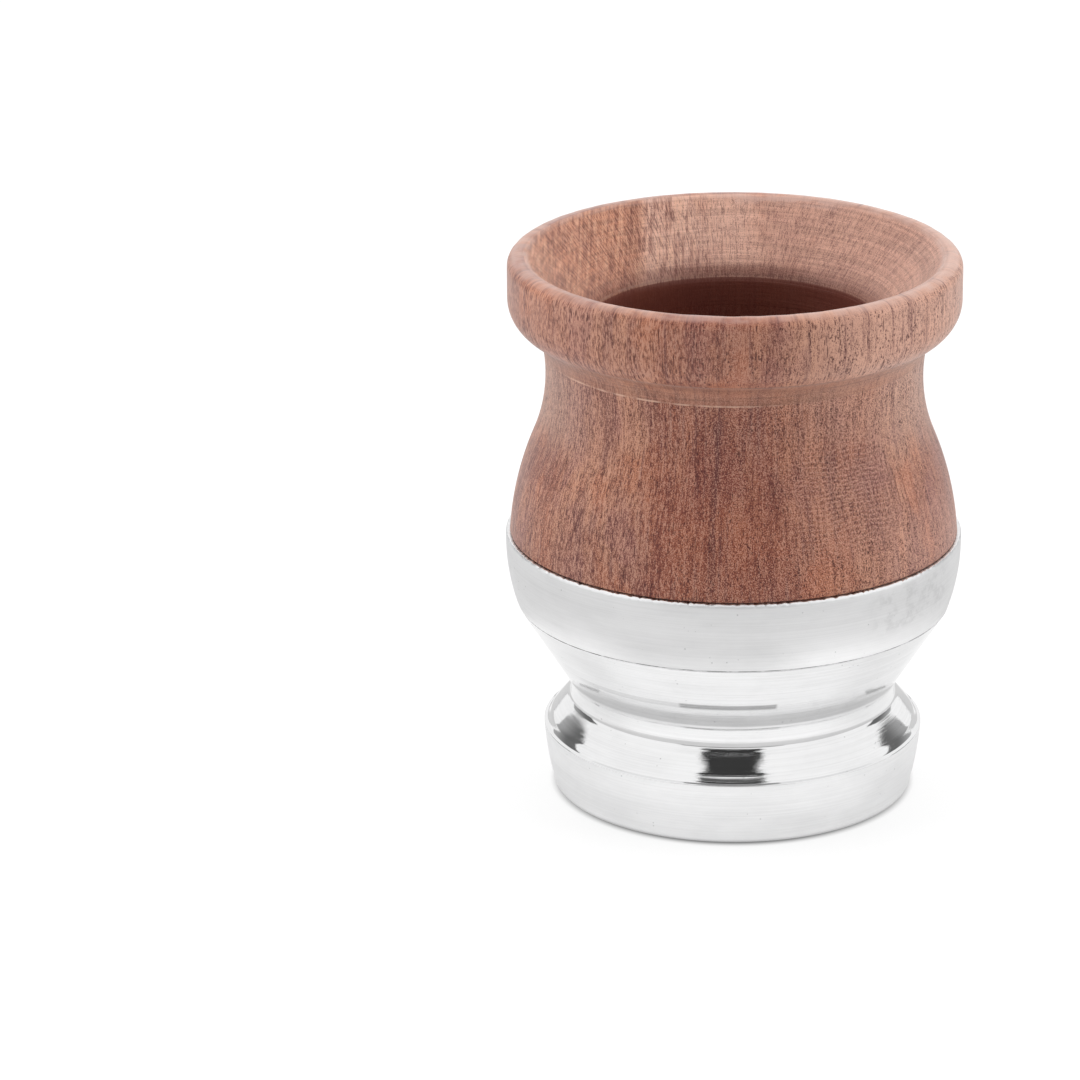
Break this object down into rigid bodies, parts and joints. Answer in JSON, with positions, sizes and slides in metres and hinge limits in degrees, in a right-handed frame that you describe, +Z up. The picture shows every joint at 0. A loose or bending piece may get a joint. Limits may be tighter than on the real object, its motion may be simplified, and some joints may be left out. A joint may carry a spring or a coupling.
{
  "type": "mate cup",
  "caption": "Turned hardwood cup with a flared mouth, held in a satin metal collar on a waisted metal foot, for an infusion that is drunk through a straw.",
  "frame": {"origin": "centre of the foot's flat underside, on the surface that the cup stands on", "axes": "+Z up along the cup's axis; X and Y are level and alike, because the cup is turned"},
  "size_m": [0.076, 0.076, 0.0928],
  "materials": {
    "hardwood": "oiled, open pored",
    "satin_metal": "satin, brushed round",
    "polished_metal": "polished, with fine turned lines"
  },
  "bodies": {
    "root": {"wooden_cup": "hardwood", "collar": "satin_metal", "foot": "polished_metal"}
  },
  "joints": []
}
